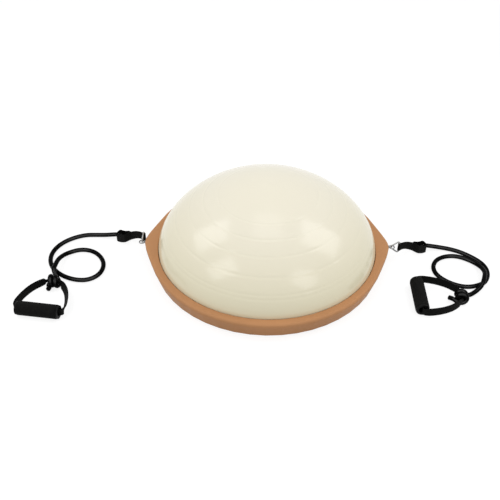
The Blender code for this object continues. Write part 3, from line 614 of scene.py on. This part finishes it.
def build_sleeve(side, mat):
    """The webbing round the hook's bar and the stopper, with the tube's hole cut through its end."""
    place = sleeve_plane(side)
    path = refine(sleeve_path(), 2)

    def size(x, y):
        narrow, wide = SLEEVE_HALF_W
        return narrow + (wide - narrow) * smoothstep((x - 0.010) / 0.034), WEB_T

    sections = band_sections(path, size, lambda x, y: sleeve_drop(x))
    sleeve = loft(f"webbing_sleeve_{side}", [[place @ p for p in s] for s in sections],
                  closed=True, smooth=60.0)
    reach = 0.006            # the cutter's length on either side of the sleeve's end
    bore = TUBE_R + BALL_FREE
    hole = axes(place @ Vector((SLEEVE_LEN - reach, 0, sleeve_drop(SLEEVE_LEN))),
                place.to_3x3() @ Vector((1, 0, 0)), (0.3, 0.2, 0.9))
    cutter = lathe(f"sleeve_cutter_{side}", [(0, 0), (bore, 0), (bore, 2 * reach), (0, 2 * reach)],
                   32, hole)
    mod = sleeve.modifiers.new("hole", "BOOLEAN")
    mod.object = cutter
    mod.solver = "EXACT"
    bpy.context.view_layer.update()
    graph = bpy.context.evaluated_depsgraph_get()
    solid = bpy.data.meshes.new_from_object(sleeve.evaluated_get(graph))
    sleeve.modifiers.clear()
    sleeve.data = solid
    bpy.data.objects.remove(cutter, do_unlink=True)
    sleeve.data.materials.clear()
    sleeve.data.materials.append(mat)
    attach(sleeve, f"band_{side}")
    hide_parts(f"sleeve_{side}")


def build_stopper(side, mat):
    """The ball in the sleeve's pocket, with the short neck that meets the tube outside it."""
    ball_x = SLEEVE_LEN - WEB_T - BALL_FREE - BALL_R
    lie = (sleeve_plane(side) @ Matrix.Translation((0, 0, sleeve_drop(SLEEVE_LEN)))
           @ Matrix.Rotation(math.pi / 2, 4, "Y"))
    end = math.asin(TUBE_R / BALL_R)
    profile = [(BALL_R * math.sin(a) if k else 0.0, ball_x - BALL_R * math.cos(a))
               for k, a in enumerate((math.pi - end) * k / 28 for k in range(29))]
    neck_end = SLEEVE_LEN + 0.0005
    profile += [(TUBE_R, neck_end - 0.0001), (TUBE_R - 0.0002, neck_end), (0, neck_end)]
    ball = lathe(f"stopper_ball_{side}", profile, 40, lie)
    ball.data.materials.append(mat)
    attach(ball, f"band_{side}")
    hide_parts(f"stopper_{side}")


def knot_path(side):
    """The tube's turns round the top of the strap, from where it comes in to its short tail."""
    enter, lead_lean, tail_lean = SIDES[side]["knot"]
    tail, tail_rise = SIDES[side]["tail"]
    wide, low = KNOT_WRAP
    lead = wide + TUBE_R + 0.0008
    first = enter * KNOT_PITCH * KNOT_TURNS / 2
    points = [Vector((STRAP_REACH + lead * t, first + enter * lead_lean * t ** 2, -low))
              for t in (1.0, 0.66, 0.33)]
    steps = 32 * KNOT_TURNS
    for k in range(steps + 1):
        turn = 2 * math.pi * KNOT_TURNS * k / steps
        across = first - enter * KNOT_PITCH * KNOT_TURNS * k / steps
        points.append(Vector((STRAP_REACH - wide * math.sin(turn), across, -low * math.cos(turn))))
    for t in (k / 8 for k in range(1, 9)):
        lean = enter * tail_lean * smoothstep((t - 0.15) / 0.60)
        points.append(Vector((STRAP_REACH - tail * t, -first + lean, -low + tail_rise * t ** 2)))
    return points


def build_tube(side, mat):
    """The free tube as one curve, and its knotted end round the handle strap."""
    place = sleeve_plane(side)
    handle = handle_plane(side)
    drop = sleeve_drop(SLEEVE_LEN)
    exit_point = place @ Vector((SLEEVE_LEN + 0.0008, 0, drop))
    lead = place @ Vector((SLEEVE_LEN + 0.0058, 0, drop))
    knot_points = [handle @ p for p in knot_path(side)]
    inward = (knot_points[1] - knot_points[0]).normalized()
    end = knot_points[0] - CLEAR * inward
    before = [knot_points[0] - d * inward for d in (0.0110, 0.0055)]
    on_floor = Vector((0, 0, TUBE_R + CLEAR))
    route = [exit_point, lead] + [Vector(p) + on_floor for p in SIDES[side]["route"]] + before + [end]
    points = spline(route, 60)
    points[1] = lead
    points[-2] = end - 0.0100 * inward
    points = spline(points, 236)
    curve = bpy.data.curves.new(f"rubber_tube_{side}", "CURVE")
    curve.dimensions = "3D"
    curve.bevel_depth = TUBE_R
    curve.bevel_resolution = 8
    curve.use_fill_caps = True
    line = curve.splines.new("POLY")
    line.points.add(len(points) - 1)
    for slot, point in zip(line.points, points):
        slot.co = (*point, 1.0)
    line.use_smooth = True
    tube = bpy.data.objects.new(f"rubber_tube_{side}", curve)
    bpy.context.scene.collection.objects.link(tube)
    curve.materials.append(mat)
    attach(tube, f"band_{side}")
    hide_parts(f"tube_{side}")

    path = knot_points[:-1] + [knot_points[-1].lerp(knot_points[-2], 0.06), knot_points[-1]]
    radii = [TUBE_R] * (len(path) - 1) + [0.93 * TUBE_R]
    knot = loft(f"tube_knot_{side}", round_sections(path, radii, 24), smooth=50.0)
    knot.data.materials.append(mat)
    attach(knot, f"band_{side}")
    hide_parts(f"knot_{side}")


def build_handle(side, web_mat, foam_mat):
    """A handle's strap and the foam on its grip, finely ribbed."""
    place = handle_plane(side)
    sections = band_sections(refine(strap_path(), 3), strap_size, lambda u, v: 0.0,
                             lambda u, v: strap_lean(side, u, v))
    strap = loft(f"handle_strap_{side}", [[place @ p for p in s] for s in sections],
                 closed=True, smooth=60.0)
    strap.data.materials.append(web_mat)
    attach(strap, f"handle_{side}")
    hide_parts(f"strap_{side}")

    along = place @ Matrix.Rotation(-math.pi / 2, 4, "X")
    inner = CORE_R[1] + CLEAR
    profile = [(inner, -GRIP_HALF), (GRIP_R - 0.0020, -GRIP_HALF), (GRIP_R - 0.0008, -GRIP_HALF + 0.0005),
               (GRIP_R - 0.0001, -GRIP_HALF + 0.0018)]
    steps = 150
    ribbed = GRIP_HALF - 0.0026
    rib_depth = 0.00016
    rib_pitch = 0.0062
    for k in range(steps + 1):
        at = -ribbed + 2 * ribbed * k / steps
        rib = rib_depth * (0.5 + 0.5 * math.cos(2 * math.pi * at / rib_pitch)) ** 6
        profile.append((GRIP_R - rib, at))
    profile += [(GRIP_R - 0.0001, GRIP_HALF - 0.0018), (GRIP_R - 0.0008, GRIP_HALF - 0.0005),
                (GRIP_R - 0.0020, GRIP_HALF), (inner, GRIP_HALF), (inner, -GRIP_HALF)]
    grip = lathe(f"foam_grip_{side}", profile, 64, along, smooth=50.0)
    grip.data.materials.append(foam_mat)
    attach(grip, f"grip_{side}")
    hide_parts(f"grip_foam_{side}")


# Floor, world and light
# Panels whose reflections show on the dome: the place of the reflection, the way to the panel, size, power
PANEL_AWAY = 1.7
PANELS = [("left_back_panel", (-0.134, -0.129, 0.168), (-0.697, 0.182, 0.694), (0.65, 0.95), 4.6),
          ("left_front_panel", (-0.104, -0.207, 0.131), (-0.642, -0.407, 0.649), (0.55, 0.90), 3.8),
          ("right_back_panel", (0.126, -0.133, 0.169), (0.677, 0.150, 0.720), (0.75, 1.05), 5.8),
          ("right_front_panel", (0.086, -0.226, 0.120), (0.563, -0.582, 0.587), (0.55, 0.75), 3.0)]


def seen_rays(tree):
    """1 for the rays that the eye follows: straight, off a gloss or through glass."""
    path = tree.nodes.new("ShaderNodeLightPath")
    total = path.outputs["Is Camera Ray"]
    for kind in ("Is Glossy Ray", "Is Transmission Ray"):
        either = tree.nodes.new("ShaderNodeMath")
        either.operation = "MAXIMUM"
        tree.links.new(total, either.inputs[0])
        tree.links.new(path.outputs[kind], either.inputs[1])
        total = either.outputs[0]
    return total


def build_stage():
    """White world and floor for the rays that the eye follows, a lamp above and four panels."""
    floor_half = 8.0
    floor_z = -0.0002
    glow_share = 0.55
    scene = bpy.context.scene
    world = bpy.data.worlds.new("studio")
    scene.world = world
    world.use_nodes = True
    tree = world.node_tree
    light = tree.nodes["Background"]
    light.inputs["Color"].default_value = (1, 1, 1, 1)
    light.inputs["Strength"].default_value = 0.66
    white = tree.nodes.new("ShaderNodeBackground")
    white.inputs["Color"].default_value = (1, 1, 1, 1)
    mix = tree.nodes.new("ShaderNodeMixShader")
    tree.links.new(seen_rays(tree), mix.inputs[0])
    tree.links.new(light.outputs[0], mix.inputs[1])
    tree.links.new(white.outputs[0], mix.inputs[2])
    tree.links.new(mix.outputs[0], tree.nodes["World Output"].inputs["Surface"])

    n = Nodes("studio_floor")
    n.set(Base_Color=(0.56, 0.56, 0.56, 1.0), Roughness=1.0, Specular_IOR_Level=0.0)
    glow = n.add("ShaderNodeEmission", {"Color": (1, 1, 1, 1), "Strength": 1.50})
    mixed = n.add("ShaderNodeMixShader", {0: n.math("MULTIPLY", seen_rays(n.tree), glow_share),
                                          1: n.shader.outputs[0], 2: glow.outputs[0]})
    n.tree.links.new(mixed.outputs[0], n.tree.nodes["Material Output"].inputs["Surface"])
    corners = [(x * floor_half, y * floor_half, floor_z) for x, y in ((-1, -1), (1, -1), (1, 1), (-1, 1))]
    floor = mesh_object("studio_floor", corners, [[0, 1, 2, 3]])
    floor.data.materials.append(n.mat)

    def area(name, place, target, size, power):
        data = bpy.data.lights.new(name, "AREA")
        data.shape = "RECTANGLE"
        data.size, data.size_y = size
        data.energy = power
        lamp = bpy.data.objects.new(name, data)
        lamp.matrix_world = axes(place, Vector(place) - Vector(target), (0, 1, 0.01))
        scene.collection.objects.link(lamp)

    area("top_light", (0.0, 0.2, 2.6), (0, 0, 0), (1.0, 1.0), 3.2)
    for name, place, toward, size, power in PANELS:
        target = Vector(place)
        area(name, target + PANEL_AWAY * Vector(toward), target, size, power)
    scene.view_settings.view_transform = "Standard"


add_camera()
rubber = black_rubber()
web = webbing()
foam_mat = foam()
metal = steel()
plastic = black_plastic()
tan = tan_plastic()
cream = cream_vinyl()
pads = gray_rubber()
for side_name in SIDES:
    build_tube(side_name, rubber)
    build_sleeve(side_name, web)
    build_stopper(side_name, rubber)
    build_handle(side_name, web, foam_mat)
    for node_name in ("eye_bolt", "hook", "gate", "gate_pin"):
        dress(f"{node_name}_{side_name}", metal)
    for node_name in (f"grip_core_{side_name}", f"grip_collar_{side_name}_a", f"grip_collar_{side_name}_b"):
        dress(node_name, plastic)
build_dome(cream)
dress("base_platform", tan)
dress("clamp_ring", tan)
for node_name in ("bladder_floor", "valve_body", "valve_plug"):
    dress(node_name, cream)
dress("center_pad", pads)
for number in range(1, 7):
    dress(f"foot_{number}", pads)
    dress(f"foot_screw_{number}", metal)
build_stage()
